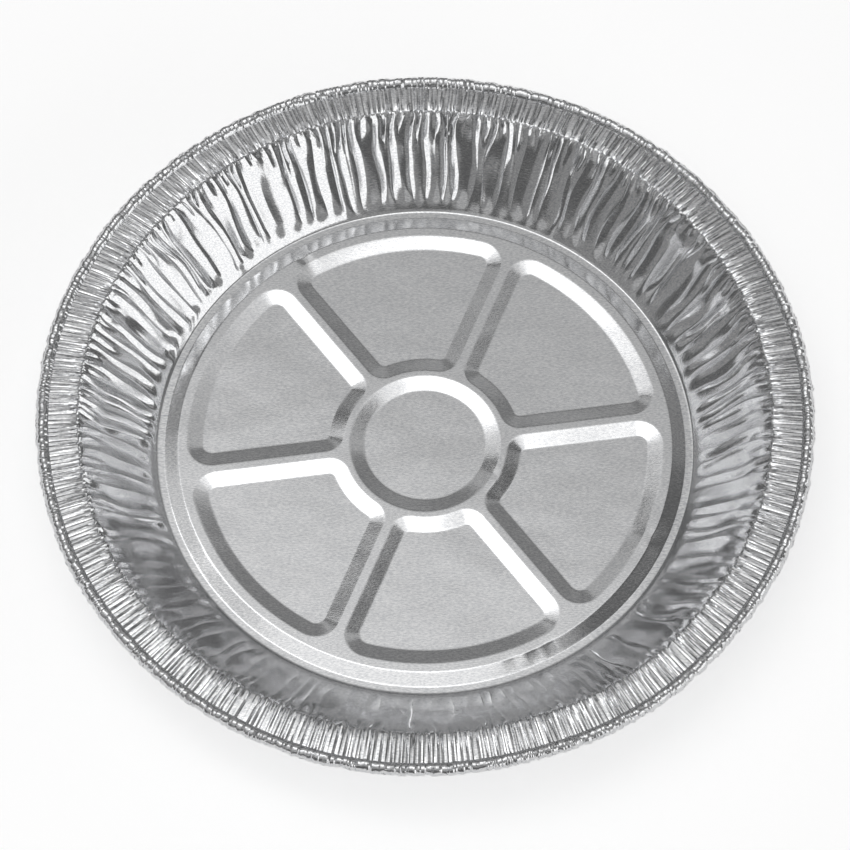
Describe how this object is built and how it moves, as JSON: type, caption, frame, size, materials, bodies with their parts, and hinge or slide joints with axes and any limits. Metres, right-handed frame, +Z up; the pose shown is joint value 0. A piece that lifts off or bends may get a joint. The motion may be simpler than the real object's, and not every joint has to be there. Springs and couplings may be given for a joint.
{
  "type": "foil pie tin",
  "caption": "Round shallow foil pie tin with an embossed spoked base, a fluted sloping wall, a pleated flange and a rolled bead.",
  "frame": {"origin": "on the table under the centre of the base, where the tin's axis meets the plane of its foot ring", "axes": "+Z up along the tin's axis, +X to the right and -Y towards the viewer in the picture; the first spoke points 7.7 degrees left of +X, seen from above"},
  "size_m": [0.2443, 0.2444, 0.0278],
  "materials": {
    "foil": "bright rolled foil with a fine grain, creased at the flutes, pleats and bead"
  },
  "bodies": {
    "root": {"pie_tin": "foil"}
  },
  "joints": []
}
